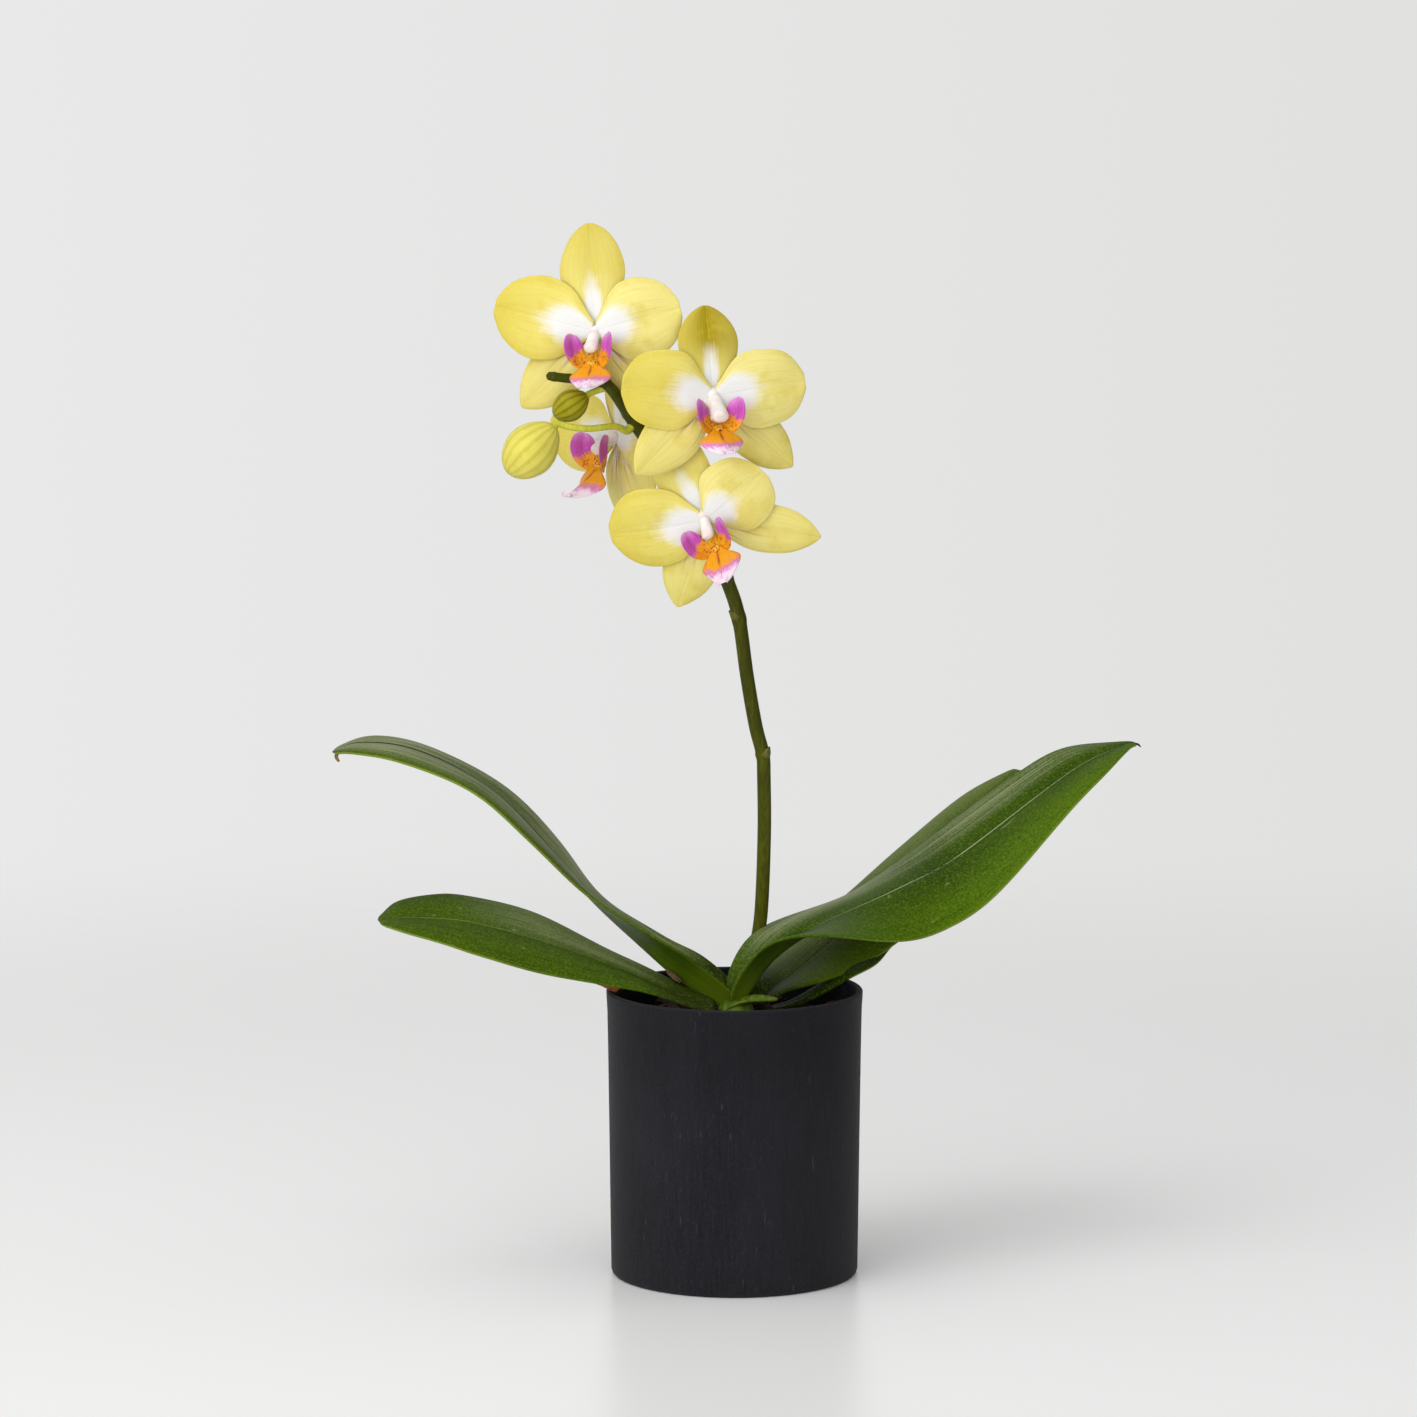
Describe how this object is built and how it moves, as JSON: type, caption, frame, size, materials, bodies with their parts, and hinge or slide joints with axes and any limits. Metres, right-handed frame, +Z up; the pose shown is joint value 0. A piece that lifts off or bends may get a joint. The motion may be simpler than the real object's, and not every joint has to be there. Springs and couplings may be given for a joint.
{
  "type": "potted orchid",
  "caption": "Moth orchid in a straight charcoal pot: an arched spike with open yellow flowers and buds over strap leaves.",
  "frame": {"origin": "centre of the pot's flat underside", "axes": "+Z up along the pot's axis, -Y towards the side that the flowers face, +X to the viewer's right of the flowers"},
  "size_m": [0.3245, 0.1781, 0.4126],
  "materials": {
    "pot": "matte charcoal, fine vertical streaks",
    "bark": "dark composted bark",
    "bark_chip": "orange-brown bark",
    "root": "grey-green, matte",
    "dry_sheath": "dry, papery tan",
    "crown": "fresh green",
    "leaf": "waxy dark green, satin sheen",
    "spike": "dark olive, waxy",
    "bract": "olive brown, matte",
    "sepal": "soft yellow, white at the base",
    "petal": "soft yellow, white at the base",
    "lip": "orange throat, magenta lobes",
    "column": "creamy white",
    "pedicel": "pale green",
    "bud_large": "yellow-green with faint veins",
    "bud_small": "green with pale ribs"
  },
  "bodies": {
    "root": {"pot": "pot", "potting_mix": "bark", "bark_chip": "bark_chip", "root_left": "root", "root_front": "root", "dry_sheath": "dry_sheath", "crown": "crown", "leaf_upper_left": "leaf", "leaf_lower_left": "leaf", "leaf_front_right": "leaf", "leaf_back_right": "leaf", "leaf_low_right": "leaf", "flower_spike": "spike", "bract_node": "bract", "bract_upper": "bract", "flower_top_dorsal_sepal": "sepal", "flower_top_lateral_sepal_left": "sepal", "flower_top_lateral_sepal_right": "sepal", "flower_top_petal_left": "petal", "flower_top_petal_right": "petal", "flower_top_lip": "lip", "flower_top_column": "column", "flower_top_pedicel": "pedicel", "flower_right_dorsal_sepal": "sepal", "flower_right_lateral_sepal_left": "sepal", "flower_right_lateral_sepal_right": "sepal", "flower_right_petal_left": "petal", "flower_right_petal_right": "petal", "flower_right_lip": "lip", "flower_right_column": "column", "flower_right_pedicel": "pedicel", "flower_low_dorsal_sepal": "sepal", "flower_low_lateral_sepal_left": "sepal", "flower_low_lateral_sepal_right": "sepal", "flower_low_petal_left": "petal", "flower_low_petal_right": "petal", "flower_low_lip": "lip", "flower_low_column": "column", "flower_low_pedicel": "pedicel", "flower_back_dorsal_sepal": "sepal", "flower_back_lateral_sepal_left": "sepal", "flower_back_lateral_sepal_right": "sepal", "flower_back_petal_left": "petal", "flower_back_petal_right": "petal", "flower_back_lip": "lip", "flower_back_column": "column", "flower_back_pedicel": "pedicel", "bud_large": "bud_large", "bud_large_pedicel": "pedicel", "bud_small": "bud_small", "bud_small_pedicel": "pedicel"}
  },
  "joints": []
}
